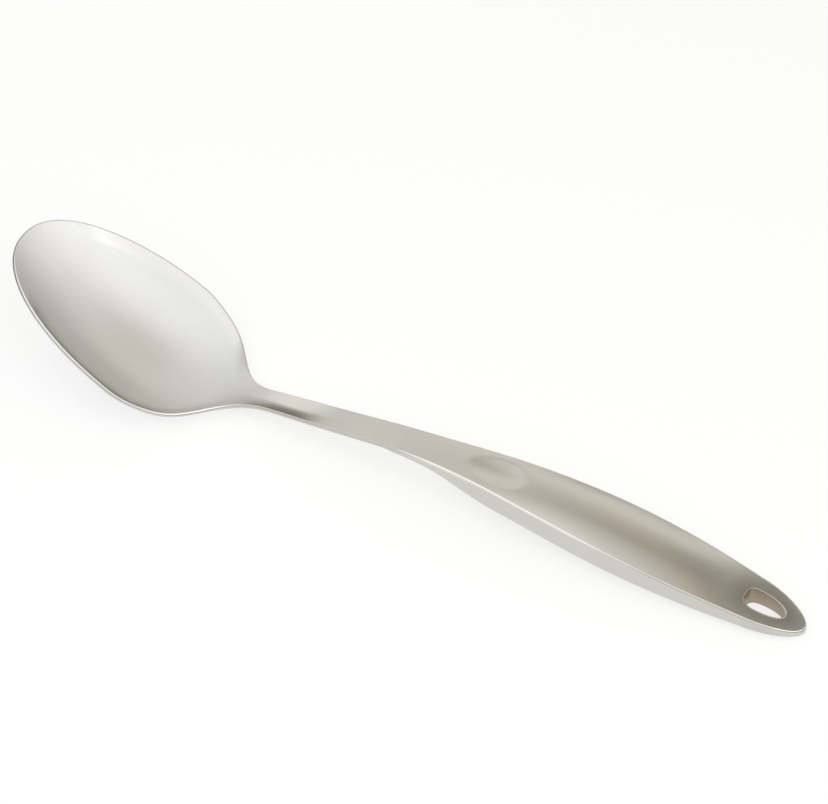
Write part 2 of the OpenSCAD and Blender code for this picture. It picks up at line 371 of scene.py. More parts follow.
    def half_width(self, x: Array) -> Array:
        """Half width of the outline in plan, round at the tip and at the end.

        Args:
            x: Places along the spoon.

        Returns:
            Half widths.
        """
        round_tip = np.clip(1 - (1 - x / self.widest_x) ** 2, 0, None) ** self.tip_power
        left = np.clip((self.end_x - x) / self.end_round, 0, 1)
        back = self.side.at(x) * np.sqrt(1 - (1 - left) ** 2)
        return np.where(x < self.widest_x, round_tip * self.bowl_width / 2, back)

    def outward(self, x: Array) -> Array:
        """Outward direction of the outline in plan, on the left looking to the end.

        Args:
            x: Places along the spoon.

        Returns:
            Unit vectors in X and Y.
        """
        drop = self.half_width(x - self.step) - self.half_width(x + self.step)
        fall = drop / (2 * self.step)
        way = unit(np.stack([fall, np.ones_like(fall)], -1))
        way[x <= self.step] = (-1, 0)
        way[x >= self.end_x - self.step] = (1, 0)
        return way

    def inset(self, x: Array, distance: float) -> Array:
        """Points of the outline, set in by a distance.

        Args:
            x: Places along the spoon.
            distance: How far the points move in.

        Returns:
            Points in X and Y.
        """
        return np.stack([x, self.half_width(x)], -1) - distance * self.outward(x)

    def section_power(self, x: Array) -> Array:
        """Power of the section, which turns from a dish to a crease and back along the stem.

        Args:
            x: Places along the spoon.

        Returns:
            Powers of the share of the half width.
        """
        crease = self.on_stem(
            [(-0.1, 0), (0.12, 1), (0.66, 1), (1, 0)],
            self.dish_power,
            self.channel_power - self.dish_power,
        )
        return np.interp(x, *np.array(crease).T)

    def from_rim(self, x: Array, y: Array) -> Array:
        """Distance in plan from where the rim's rounding ends, inward."""
        return (self.half_width(x) - np.abs(y)) * self.outward(x)[..., 1] - self.rim_reach

    def lip(self, x: Array, y: Array) -> Array:
        """Rise of the bowl's wall behind its lip, the band along the rim that lies flatter.

        Args:
            x: Places along the spoon.
            y: Places across it.

        Returns:
            Rises above the plain dish, nothing at the rim and in the middle.
        """
        front = [(0.15, 0), (0.2, 0.4), (0.26, 0.65), (0.36, 1)]
        back = [(0.57, 1), (0.67, 0.8), (0.77, 0.5), (0.88, 0)]
        size = np.interp(x, *np.array(self.on_bowl(front + back, 0, self.lip_rise)).T)
        inward = self.from_rim(x, y)
        flat = 1 - np.clip(1 - inward / self.lip_width, 0, 1) ** self.lip_power
        past = np.clip((inward - self.lip_width) / self.lip_run, 0, 1)
        return size * flat * (1 + np.cos(math.pi * past)) / 2

    def in_dimple(self, x: Array, y: Array) -> Array:
        """How far places lie in the thumb dimple.

        Args:
            x: Places along the spoon.
            y: Places across it.

        Returns:
            Shares from 0, outside and on the dimple's edge, to 1 in its middle.
        """
        past = x - (self.mouth_x + self.dimple_start + self.dimple_lead)
        reach = np.where(past < 0, self.dimple_lead, self.dimple_length - self.dimple_lead)
        return np.clip(1 - (past / reach) ** 2 - (y / (self.dimple_width / 2)) ** 2, 0, None)

    def height(self, x: Array, y: Array) -> Array:
        """Height of the upper surface of bowl, stem and handle.

        Args:
            x: Places along the spoon.
            y: Places across it.

        Returns:
            Heights above the table, before the spoon is set down on it.
        """
        width = self.half_width(x)
        share = np.abs(y) / np.where(width > 0, width, np.inf)
        dimple = self.dimple_depth * self.in_dimple(x, y) ** self.dimple_power
        dish = self.dish.at(x) * (1 - share ** self.section_power(x))
        return self.edge.at(x) - dish + self.lip(x, y) - dimple

    def slope(self, x: Array, y: Array) -> Array:
        """Slope of the upper surface along and across.

        Args:
            x: Places along the spoon.
            y: Places across it.

        Returns:
            Rise for each millimetre along X and along Y.
        """
        x = np.clip(x, 2 * self.step, self.end_x - 2 * self.step)
        along = self.height(x + self.step, y) - self.height(x - self.step, y)
        over = self.height(x, y + self.step) - self.height(x, y - self.step)
        return np.stack([along, over], -1) / (2 * self.step)

    def rim(self, x: Array) -> Array:
        """Height of the bottom shell's rim."""
        p = self.inset(x, self.seam_setback)
        return self.height(p[..., 0], p[..., 1]) - self.shell

    def underside(self, x: Array, y: Array) -> Array:
        """Height of the bottom shell's outer underside.

        Args:
            x: Places along the spoon.
            y: Places across it.

        Returns:
            Heights above the table, before the spoon is set down on it.
        """
        width = self.half_width(x)
        share = np.clip(np.abs(y) / np.where(width > 0, width, np.inf), 0, 1)
        round_off = (1 - share**self.hull_power) ** (1 / self.hull_power)
        return self.rim(x) - (self.hull.at(x) - self.shell) * round_off

    def joggle(self, x: Array) -> Array:
        """Share of the step that the stem's underside has taken before the mouth."""
        s = np.clip((x - self.mouth_x + self.joggle_length) / self.joggle_length, 0, 1)
        return s * s * (3 - 2 * s)

    def thickness(self, x: Array) -> Array:
        """Thickness of bowl and stem, which grows over the joggle."""
        return self.sheet + (self.shell + self.fit_gap) * self.joggle(x)

    def hole_edge(self, turn: Array, grow: Array | float) -> Array:
        """Points of the hang hole's outline: half an oval, and a blunter half towards the bowl.

        Args:
            turn: Turns round the hole, in radians.
            grow: Distance by which the outline is grown.

        Returns:
            Points in X and Y.
        """
        blunt = np.cos(turn) < 0
        bend = 2 / np.where(blunt, self.blunt_power, self.oval_power)[..., None]
        along = np.where(blunt, self.hole_lead, self.hole_length - self.hole_lead)
        reach = np.stack([along, np.full_like(along, self.hole_width / 2)], -1)
        part = np.stack([np.cos(turn), np.sin(turn)], -1)
        out = unit(np.sign(part) * np.abs(part) ** (2 - bend) / reach)
        edge = np.sign(part) * reach * np.abs(part) ** bend
        return [self.hole_x, 0] + edge + np.asarray(grow)[..., None] * out

    def hole_from_middle(self, angle: Array, grow: float) -> Array:
        """Points of the hang hole's outline in directions from the middle of its length.

        Args:
            angle: Directions from that middle, in radians.
            grow: Distance by which the outline is grown.

        Returns:
            Points in X and Y.
        """
        middle = np.array([self.hole_middle, 0.0])
        around = np.linspace(0, 2 * math.pi, ROUND_STEPS, endpoint=False)
        away = self.hole_edge(around, grow) - middle
        turn = np.arctan2(away[:, 1], away[:, 0])
        radius = np.interp(angle, turn, np.linalg.norm(away, axis=1), period=2 * math.pi)
        return middle + radius[:, None] * np.stack([np.cos(angle), np.sin(angle)], -1)

    @cached_property
    def place(self) -> Array:
        """Shift from the spoon's own millimetres to the frame, so that it lies on the solids.

        Returns:
            Shift in X, Y and Z.
        """
        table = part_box("bowl_and_stem")[0][2] / MM
        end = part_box("handle_bottom_shell")[1][0] / MM
        x = np.linspace(self.widest_x, self.bowl_length, FINE_STEPS)
        middle = np.zeros_like(x)
        fall = -self.slope(x, middle)[:, 0]
        upward = unit(np.stack([fall, np.ones_like(x)], -1))[:, 1]
        bottom = np.min(self.height(x, middle) - self.sheet * upward)
        return np.array([end - self.end_x, 0.0, table - bottom])


@dataclass
class Draft:
    """A piece while it is drawn: points in millimetres, with grain places and the share of
    polish, which also carries painted light and shade.
    """

    form: SpoonForm
    points: list[Array] = field(default_factory=list)
    grain: list[Array] = field(default_factory=list)
    polish: list[Array] = field(default_factory=list)
    faces: list[tuple[int, ...]] = field(default_factory=list)

    @property
    def count(self) -> int:
        """How many points are drawn so far."""
        return sum(len(p) for p in self.points)

    def rows(
        self, points: Array, grain: Array, polish: Array | float = 0.0, flip: bool = False
    ) -> Array:
        """Draw a sheet of four-sided faces through rows of points.

        Args:
            points: Points by row and column.
            grain: Grain places by row and column.
            polish: Share of polish, for all points or for each.
            flip: Turn the faces over.

        Returns:
            Numbers of the points by row and column.
        """
        height, width = points.shape[:2]
        ids = self.count + np.arange(height * width).reshape(height, width)
        self.points.append(points.reshape(-1, 3))
        self.grain.append(grain.reshape(-1, 2))
        self.polish.append(np.broadcast_to(polish, (height, width)).reshape(-1))
        corners = np.stack([ids[:-1, :-1], ids[:-1, 1:], ids[1:, 1:], ids[1:, :-1]], -1)
        corners = corners.reshape(-1, 4)
        self.faces += [tuple(c) for c in (corners[:, ::-1] if flip else corners).tolist()]
        return ids

    def bridge(self, first: Array, second: Array) -> None:
        """Draw faces between two lines of points.

        Args:
            first: Numbers of the points of one line.
            second: Numbers of the points of the other.
        """
        corners = np.stack([first[:-1], first[1:], second[1:], second[:-1]], -1)
        self.faces += [tuple(c) for c in corners.tolist()]

    def cap_ends(self, rings: Array) -> None:
        """Close the first and the last of rings whose last point repeats the first.

        Args:
            rings: Numbers of the points by ring.
        """
        self.faces.append(tuple(rings[0, :-1].tolist()))
        self.faces.append(tuple(rings[-1, -2::-1].tolist()))

    def finished(self, name: str, sharp: float) -> bpy.types.Object:
        """Turn the draft into an object in the frame.

        Args:
            name: Name of the object.
            sharp: Angle in degrees above which an edge stays sharp.

        Returns:
            The object, linked to the scene.
        """
        mesh = bpy.data.meshes.new(name)
        points = (np.concatenate(self.points) + self.form.place) * MM
        mesh.from_pydata(points.tolist(), [], self.faces)
        polish = mesh.attributes.new("polish", "FLOAT", "POINT")
        polish.data.foreach_set("value", np.concatenate(self.polish))
        loops = np.zeros(len(mesh.loops), int)
        mesh.loops.foreach_get("vertex_index", loops)
        grain = mesh.uv_layers.new(name="grain")
        grain.data.foreach_set("uv", np.concatenate(self.grain)[loops].ravel())
        work = bmesh.new()
        work.from_mesh(mesh)
        bmesh.ops.remove_doubles(work, verts=work.verts, dist=MERGE_GAP * MM)
        bmesh.ops.recalc_face_normals(work, faces=work.faces)
        work.to_mesh(mesh)
        work.free()
        mesh.validate()
        mesh.shade_smooth()
        mesh.set_sharp_from_angle(angle=math.radians(sharp))
        piece = bpy.data.objects.new(name, mesh)
        bpy.context.scene.collection.objects.link(piece)
        return piece


class Working(Enum):
    """How the face of a steel piece was worked."""

    BRUSHED = "satin brushed"
    DRAWN = "drawn"
    POLISHED = "polished"


@dataclass(frozen=True)
class SteelFinish:
    """One stainless steel face: its colour, the marks that its working left, and light and shade
    painted into the colour.

    Real brush lines are a few hundredths of a millimetre wide, too fine to show in the render,
    so they are drawn as coarse as they need to show.

    Attributes:
        name: Common name of the steel, with its working.
        working: How the face was worked.
        colour: Colour of the face.
        shade: Colour of its darker lines.
        roughness: Roughness of the face.
        roughness_spread: How far the roughness of a line departs from it.
        polish_and_painted_light_colour: Colour where the face is polished, which paints shade or
            a highlight there.
        polish_roughness: Roughness where it is polished.
        grain_length: Length of a line, in millimetres.
        grain_width: Width of a line, in millimetres.
        grain_depth: Depth of a line, in millimetres.
        cloud: Size of the broad, faint clouds, in millimetres.
        stem_change: Change of the roughness from the bowl to the stem.
        stem_tint_and_shade: Colour that tints the stem: warmer, and darker, which is painted
            shade.
        neck_run: Places along the grain between which bowl turns into stem, in millimetres.
    """

    name: str
    working: Working
    colour: str
    shade: str
    roughness: float
    roughness_spread: float
    polish_and_painted_light_colour: str
    polish_roughness: float
    grain_length: float
    grain_width: float
    grain_depth: float
    cloud: float
    stem_change: float = 0.0
    stem_tint_and_shade: str = "#FFFFFF"
    neck_run: tuple[float, float] = (84.0, 112.0)

    def material(self) -> bpy.types.Material:
        """Make the material, or give the one that is made already.

        Returns:
            Material with the finish's colour, gloss and grain.
        """
        known = bpy.data.materials.get(self.name)
        if known:
            return known
        material = bpy.data.materials.new(self.name)
        material.use_nodes = True
        tree = material.node_tree
        tree.nodes.clear()
        grain = add_node(tree, "ShaderNodeUVMap", {"uv_map": "grain"}).outputs["UV"]
        polish = add_node(
            tree,
            "ShaderNodeAttribute",
            {"attribute_type": "GEOMETRY", "attribute_name": "polish"},
        ).outputs["Fac"]
        lines = self.lines(tree, grain)
        stem = self.stem_share(tree, grain)
        shader = add_node(
            tree,
            "ShaderNodeBsdfPrincipled",
            {"Metallic": 1.0},
            {
                "Base Color": self.tint(tree, grain, lines, polish, stem),
                "Roughness": self.gloss(tree, lines, polish, stem),
                "Normal": self.relief(tree, lines, polish),
            },
        ).outputs["BSDF"]
        add_node(tree, "ShaderNodeOutputMaterial", None, {"Surface": shader})
        return material

    def lines(self, tree: Tree, grain: Socket) -> Socket:
        """Draw the lines of the brush.

        Args:
            tree: Node tree of the material.
            grain: Grain places.

        Returns:
            Pattern that is long along the grain and narrow across it.
        """
        drawn_out = add_node(
            tree,
            "ShaderNodeMapping",
            {"Scale": (1 / self.grain_length, 1 / self.grain_width, 1)},
            {"Vector": grain},
        ).outputs["Vector"]
        return add_node(
            tree,
            "ShaderNodeTexNoise",
            {"noise_dimensions": "2D", "Scale": 1.0, "Detail": 3.0, "Roughness": 0.6},
            {"Vector": drawn_out},
        ).outputs["Fac"]

    def stem_share(self, tree: Tree, grain: Socket) -> Socket:
        """Turn from the bowl's finish to the stem's, over the neck.

        Args:
            tree: Node tree of the material.
            grain: Grain places.

        Returns:
            Share of the stem's finish.
        """
        along = add_node(tree, "ShaderNodeSeparateXYZ", None, {"Vector": grain}).outputs["X"]
        start, stop = self.neck_run
        return add_node(
            tree,
            "ShaderNodeMapRange",
            {"interpolation_type": "SMOOTHSTEP", "From Min": start, "From Max": stop},
            {"Value": along},
        ).outputs[0]

    def tint(
        self, tree: Tree, grain: Socket, lines: Socket, polish: Socket, stem: Socket
    ) -> Socket:
        """Colour the face, with its lines, clouds and polished places, and the light and shade
        painted on the polished places and the stem.

        Args:
            tree: Node tree of the material.
            grain: Grain places.
            lines: Pattern of the brush lines.
            polish: Share of polish.
            stem: Share of the stem's finish.

        Returns:
            Colour of the face.
        """
        clouds = add_node(
            tree,
            "ShaderNodeTexNoise",
            {"noise_dimensions": "2D", "Scale": 1 / self.cloud, "Detail": 2.0, "Roughness": 0.5},
            {"Vector": grain},
        ).outputs["Fac"]
        faint = add_node(
            tree, "ShaderNodeMath", {"operation": "MULTIPLY", 1: 1 - STREAK_SHARE}, {0: clouds}
        ).outputs[0]
        play = add_node(
            tree,
            "ShaderNodeMath",
            {"operation": "MULTIPLY_ADD", 1: STREAK_SHARE},
            {0: lines, 2: faint},
        ).outputs[0]
        face = add_node(
            tree,
            "ShaderNodeMix",
            {"data_type": "RGBA", 6: linear(self.colour), 7: linear(self.shade)},
            {0: play},
        ).outputs[2]
        # The polish share also paints light into the colour: a darker grey as painted shade on
        # the sheet's rim, lip and neck and round the handle's hole, a lighter grey as a painted
        # highlight on the tube's lip, and a greyer one where the weld's painted highlight fades.
        bright = add_node(
            tree,
            "ShaderNodeMix",
            {"data_type": "RGBA", 7: linear(self.polish_and_painted_light_colour)},
            {0: polish, 6: face},
        ).outputs[2]
        # The stem is tinted warmer and a little darker; the darkening is painted shade.
        return add_node(
            tree,
            "ShaderNodeMix",
            {"data_type": "RGBA", "blend_type": "MULTIPLY", 7: linear(self.stem_tint_and_shade)},
            {0: stem, 6: bright},
        ).outputs[2]

    def gloss(self, tree: Tree, lines: Socket, polish: Socket, stem: Socket) -> Socket:
        """Set how blurred the face mirrors.

        Args:
            tree: Node tree of the material.
            lines: Pattern of the brush lines.
            polish: Share of polish.
            stem: Share of the stem's finish.

        Returns:
            Roughness of the face.
        """
        satin = add_node(
            tree,
            "ShaderNodeMix",
            {"data_type": "FLOAT", 2: self.roughness, 3: self.roughness + self.stem_change},
            {0: stem},
        ).outputs[0]
        low, high = NOISE_RANGE
        spread = self.roughness_spread
        in_lines = add_node(
            tree,
            "ShaderNodeMapRange",
            {"From Min": low, "From Max": high, "To Min": -spread, "To Max": spread},
            {"Value": lines},
        ).outputs[0]
        face = add_node(
            tree, "ShaderNodeMath", {"operation": "ADD"}, {0: satin, 1: in_lines}
        ).outputs[0]
        return add_node(
            tree,
            "ShaderNodeMix",
            {"data_type": "FLOAT", 3: self.polish_roughness},
            {0: polish, 2: face},
        ).outputs[0]

    def relief(self, tree: Tree, lines: Socket, polish: Socket) -> Socket:
        """Cut the brush lines into the face where it isn't polished.

        Args:
            tree: Node tree of the material.
            lines: Pattern of the brush lines.
            polish: Share of polish.

        Returns:
            Normals of the face.
        """
        unpolished = add_node(
            tree, "ShaderNodeMath", {"operation": "SUBTRACT", 0: 1.0}, {1: polish}
        ).outputs[0]
        return add_node(
            tree,
            "ShaderNodeBump",
            {"Distance": self.grain_depth * MM},
            {"Height": lines, "Strength": unpolished},
        ).outputs["Normal"]


# Stainless sheet, satin brushed along the spoon: a soft, faintly lined grey with blurred
# reflections in the bowl, and a little more gloss along the stem. Its polished rim, lip and neck
# are painted a darker grey, which is painted shade, and the stem is tinted warmer and darker,
# the darkening being painted shade.
BRUSHED_SHEET = SteelFinish(
    name="brushed_stainless_sheet",
    working=Working.BRUSHED,
    colour="#DCDCDA",
    shade="#D6D6D3",
    roughness=0.52,
    roughness_spread=0.03,
    polish_and_painted_light_colour="#D2D1CE",
    polish_roughness=0.28,
    grain_length=24.0,
    grain_width=0.4,
    grain_depth=0.001,
    cloud=22.0,
    stem_change=-0.21,
    stem_tint_and_shade="#F6F3EF",
)
# The same steel on the handle, brushed with a coarser belt: a touch warmer and glossier than
# the bowl, and glossier round the hole, where it is painted greyer, which is painted shade.
BRUSHED_HANDLE = SteelFinish(
    name="brushed_stainless_handle",
    working=Working.BRUSHED,
    colour="#D3D1CC",
    shade="#CCCAC4",
    roughness=0.31,
    roughness_spread=0.03,
    polish_and_painted_light_colour="#BDBBB5",
    polish_roughness=0.28,
    grain_length=28.0,
    grain_width=0.45,
    grain_depth=0.001,
    cloud=26.0,
)
# Drawn stainless tube, left dull and brownish inside the hole, and polished on its lip, whose
# lighter colour is a painted highlight.
DRAWN_TUBE = SteelFinish(
    name="drawn_stainless_tube",
    working=Working.DRAWN,
    colour="#B4A99B",
    shade="#A29785",
    roughness=0.48,
    roughness_spread=0.05,
    polish_and_painted_light_colour="#CFCDC7",
    polish_roughness=0.28,
    grain_length=6.0,
    grain_width=0.35,
    grain_depth=0.002,
    cloud=5.0,
)
# Weld metal, rounded by grinding and polished: a lighter grey than the steel, which paints the
# highlight that the round edge catches, and greyer where that painted highlight fades.
POLISHED_WELD_WITH_PAINTED_HIGHLIGHT = SteelFinish(
    name="polished_stainless_weld_painted_highlight",
    working=Working.POLISHED,
    colour="#EBE9E4",
    shade="#E3E1DC",
    roughness=0.28,
    roughness_spread=0.0,
    polish_and_painted_light_colour="#C8C6C1",
    polish_roughness=0.28,
    grain_length=9.0,
    grain_width=0.5,
    grain_depth=0.0006,
    cloud=14.0,
)


@dataclass
class SpoonPiece:
    """One pressing, tube or weld of the spoon, which stands for one solid of the frame."""

    form: SpoonForm
    finish: SteelFinish
    name: str = ""
    node: str = ""
    slot: str = ""
    sharp: float = 35.0

    def draft(self) -> Draft:
        """Draw the piece; each kind of piece has its own drawing."""
        raise NotImplementedError

    def build(self) -> bpy.types.Object:
        """Make the piece, dress it and set it on the frame.

        Returns:
            The finished object.
        """
        piece = self.draft().finished(self.name, self.sharp)
        piece.data.materials.append(self.finish.material())
        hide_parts(self.node)
        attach(piece, BODY)
        faces = len(piece.data.polygons)
        log.info("%s: %d faces, %s", piece.name, faces, self.finish.working.value)
        return piece


@dataclass
class BowlAndStem(SpoonPiece):
    """The pressing from sheet steel: bowl, neck, stem, and the tang that goes into the handle.

    Its rim is polished all round and painted a darker grey there, which is painted shade. The
    polish on the lip and on the neck, with the same painted shade, comes and goes over the places
    along the spoon that the two runs give, in millimetres.
    """

    name: str = "bowl_and_stem_pressing"
    node: str = "bowl_and_stem"
    slot: str = "satin_steel"
    across: int = 68
    tip_steps: int = 56
    back_steps: int = 150
    tang_steps: int = 6
    edge_steps: int = 10
    lip_polish_and_shade_run: tuple[float, ...] = (14.0, 22.0, 84.0, 97.0)
    neck_polish_and_shade_run: tuple[float, ...] = (96.0, 110.0, 126.0, 150.0)

    def ring_rows(
        self, top: Array, normal: Array, slope: Array, down: Array, radius: float, out: Array
    ) -> Array:
        """Close rows of top points to rings of a sheet with round edges.

        Args:
            top: Points of the upper face by station and place across.
            normal: Upward normals at those points.
            slope: Slopes at those points.
            down: Thickness at each station.
            radius: Reach of the round edges.
            out: Outward direction of the edge in plan at each station.

        Returns:
            Points of the closed rings.
        """
        turn = np.linspace(0, math.pi, self.edge_steps + 1)[None, 1:-1, None]
        half = down[:, None, None] / 2
        rims = []
        for column, mirror in ((0, -1), (-1, 1)):
            way = out * [1, mirror]
            lean = np.sum(slope[:, column] * way, -1)
            o = unit(np.concatenate([way, lean[:, None]], -1))[:, None]
            n = normal[:, column][:, None]
            middle = top[:, column][:, None] - half * n
            rims.append(middle + half * np.cos(turn) * n + radius * np.sin(turn) * o)
        low = top - down[:, None, None] * normal
        left, right = rims
        return np.concatenate([top, right, low[:, ::-1], left[:, ::-1], top[:, :1]], 1)

    def rim_polish_and_shade(self, count: int) -> Array:
        """Share of polish and painted shade round a ring, all on its two round edges.

        Args:
            count: How many points the ring's upper row has.

        Returns:
            Shares from 0 to 1.
        """
        arc = self.edge_steps - 1
        polish = np.zeros(2 * (count + arc) + 1)
        polish[count : count + arc] = 1
        polish[2 * count + arc : -1] = 1
        return polish

    def lip_polish_and_shade(self, x: Array, y: Array) -> Array:
        """Share of polish and painted shade on the upper face: along the bowl's lip, and on the
        neck.

        Args:
            x: Places along the spoon.
            y: Places across it.

        Returns:
            Shares from 0 to 1.
        """
        come_and_go = (0, 1, 1, 0)
        band = np.clip(2 - self.form.from_rim(x, y) / self.form.lip_width, 0, 1)
        lip = band * np.interp(x, self.lip_polish_and_shade_run, come_and_go)
        return np.maximum(lip, np.interp(x, self.neck_polish_and_shade_run, come_and_go))

    def tang_rows(self, side: Array) -> Array:
        """Draw the rings of the tang.

        Args:
            side: Places across, from -1 to 1.

        Returns:
            Points of the rings.
        """
        form = self.form
        x = form.mouth_x + np.linspace(0, form.tang_length, self.tang_steps + 1)
        xs = np.broadcast_to(x[:, None], (len(x), len(side)))
        ys = 0 * xs + form.tang_width / 2 * side
        top = np.stack([xs, ys, form.height(xs, ys) - form.shell - form.fit_gap], -1)
        flat = np.zeros((*xs.shape, 2))
        normal = np.zeros_like(top) + [0, 0, 1]
        thick = np.full(len(x), form.sheet - 2 * form.fit_gap)
        out = np.tile([0.0, 1.0], (len(x), 1))
        return self.ring_rows(top, normal, flat, thick, thick[0] / 2, out)

    def close_end(self, draft: Draft, ring: Array, count: int) -> None:
        """Close the tang's end between its upper and lower points.

        Args:
            draft: The draft to add to.
            ring: Numbers of the points of the last ring.
            count: How many points its upper row has.
        """
        arc = self.edge_steps - 1
        upper = ring[:count]
        lower = ring[count + arc : 2 * count + arc][::-1]
        draft.bridge(upper, lower)
        draft.faces.append(tuple(ring[count - 1 : count + arc + 1].tolist()))
        draft.faces.append(tuple(ring[2 * count + arc - 1 :].tolist()))

    def draft(self) -> Draft:
        """Draw the pressing.

        Returns:
            The draft of the bowl, stem and tang.
        """
        form = self.form
        turn = np.linspace(0, QUARTER_TURN, self.tip_steps, endpoint=False)
        front = form.widest_x * (1 - np.cos(turn))
        back = np.linspace(form.widest_x, form.mouth_x, self.back_steps + 1)
        x = np.concatenate([front, back])
        p = form.inset(x, form.rim_reach)
        side = np.sin(np.linspace(-1, 1, self.across + 1) * QUARTER_TURN)
        xs = np.broadcast_to(p[:, :1], (len(x), len(side)))
        ys = p[:, 1:] * side
        slope = form.slope(xs, ys)
        upright = (1 - form.joggle(x))[:, None]
        lean = np.stack([-slope[..., 0] * upright, -slope[..., 1], np.ones_like(xs)], -1)
        top = np.stack([xs, ys, form.height(xs, ys)], -1)
        rings = self.ring_rows(
            top, unit(lean), slope, form.thickness(x), form.rim_reach, form.outward(x)
        )
        rings = np.concatenate([rings, self.tang_rows(side)])
        # Polish with painted shade: on the rim's round edges, along the lip and over the neck.
        polish = np.tile(self.rim_polish_and_shade(len(side)), (len(rings), 1))
        polish[: len(x), : len(side)] = self.lip_polish_and_shade(xs, ys)
        polish[:, -1] = polish[:, 0]
        draft = Draft(form)
        ids = draft.rows(rings, rings[..., :2], polish)
        self.close_end(draft, ids[-1], len(side))
        return draft


@dataclass
class HandleShell(SpoonPiece):
    """Half of the hollow handle: a sheet in two faces, with the hang hole through it.

    Round the hole the sheet is a little glossier and painted greyer, which is painted shade: by
    the share hole_polish_and_shade at the hole, and less and less over
    hole_polish_and_shade_reach millimetres.
    """

    slot: str = "handle_steel"
    across: int = 56
    along: int = 110
    ring_lead: float = 7.0
    side_steps: int = 48
    ring_steps: int = 22
    corner_angle: float = 135.0
    tail_angle: float = 14.0
    hole_polish_and_shade: float = 0.9
    hole_polish_and_shade_reach: float = 7.0

    def face(self, x: Array, v: Array, inner: bool) -> Array:
        """Points of one face of the shell.

        Args:
            x: Places along the spoon.
            v: Places across, from -1 on the near rim to 1 on the far one.
            inner: The face inside the handle, not the outer one.

        Returns:
            Points in X, Y and Z.
        """
        raise NotImplementedError

    def place_across(self, plan: Array) -> Array:
        """Places across, from -1 to 1, of points in plan."""
        raise NotImplementedError

    def grain_at(self, x: Array, v: Array) -> Array:
        """Grain places on the shell, in millimetres."""
        raise NotImplementedError

    def hole_ring(self, lead_x: float) -> tuple[Array, Array]:
        """Lay a ring of places round the hang hole.

        Args:
            lead_x: Place along the spoon where the ring's own part begins.

        Returns:
            Places along and places across, by step outward from the hole and place round it.
        """
        form = self.form
        half = np.linspace(-1, 1, self.across + 1)
        bend = np.sin(np.linspace(0, QUARTER_TURN, self.side_steps + 1))
        run = lead_x + (form.end_x - lead_x) * bend
        lead, end = np.full(len(half), lead_x), np.full(self.across, form.end_x)
        full = np.ones(self.side_steps)
        outer_x = np.concatenate([lead, run[1:], end, run[-2::-1]])
        outer_v = np.concatenate([half, full, half[-2::-1], -full])
        corner, tail = math.radians(self.corner_angle), math.radians(self.tail_angle)
        angle = np.concatenate([
            np.linspace(2 * math.pi - corner, corner, self.across + 1),
            np.linspace(corner, tail, self.side_steps + 1)[1:],
            np.linspace(tail, -tail, self.across + 1)[1:],
            np.linspace(-tail, -corner, self.side_steps + 1)[1:],
        ])
        plan = form.hole_from_middle(angle, form.sleeve_wall)
        inner_v = self.place_across(plan)
        t = np.sin(np.linspace(0, QUARTER_TURN, self.ring_steps + 1))[:, None]
        return plan[:, 0] * (1 - t) + outer_x * t, inner_v * (1 - t) + outer_v * t

    def draft(self) -> Draft:
        """Draw the shell's two faces, and close them at the mouth, the rims and the hole.

        Returns:
            The draft of the shell.
        """
        form = self.form
        draft = Draft(form)
        lead_x = form.hole_middle - form.hole_length / 2 - self.ring_lead
        along = np.linspace(form.mouth_x, lead_x, self.along + 1)
        x, v = np.meshgrid(along, np.linspace(-1, 1, self.across + 1), indexing="ij")
        ring_x, ring_v = self.hole_ring(lead_x)
        bodies, rings = [], []
        for inner in (False, True):
            bodies.append(draft.rows(self.face(x, v, inner), self.grain_at(x, v), 0.0, inner))
            face = self.face(ring_x, ring_v, inner)
            reach = np.linalg.norm((face - face[0])[..., :2], axis=-1)
            # Polish and painted shade, strongest at the hole.
            polish = self.hole_polish_and_shade * np.clip(1 - reach / self.hole_polish_and_shade_reach, 0, 1)
            rings.append(draft.rows(face, self.grain_at(ring_x, ring_v), polish, not inner))
        far_rim = slice(self.across, self.across + self.side_steps + 1)
        near_rim = slice(2 * self.across + self.side_steps, None)
        for outer, under in (
            (bodies[0][0], bodies[1][0]),
            (bodies[0][:, 0], bodies[1][:, 0]),
            (bodies[0][:, -1], bodies[1][:, -1]),
            (rings[0][0], rings[1][0]),
            (rings[0][-1][far_rim], rings[1][-1][far_rim]),
            (rings[0][-1][near_rim], rings[1][-1][near_rim]),
        ):
            draft.bridge(outer, under)
        return draft


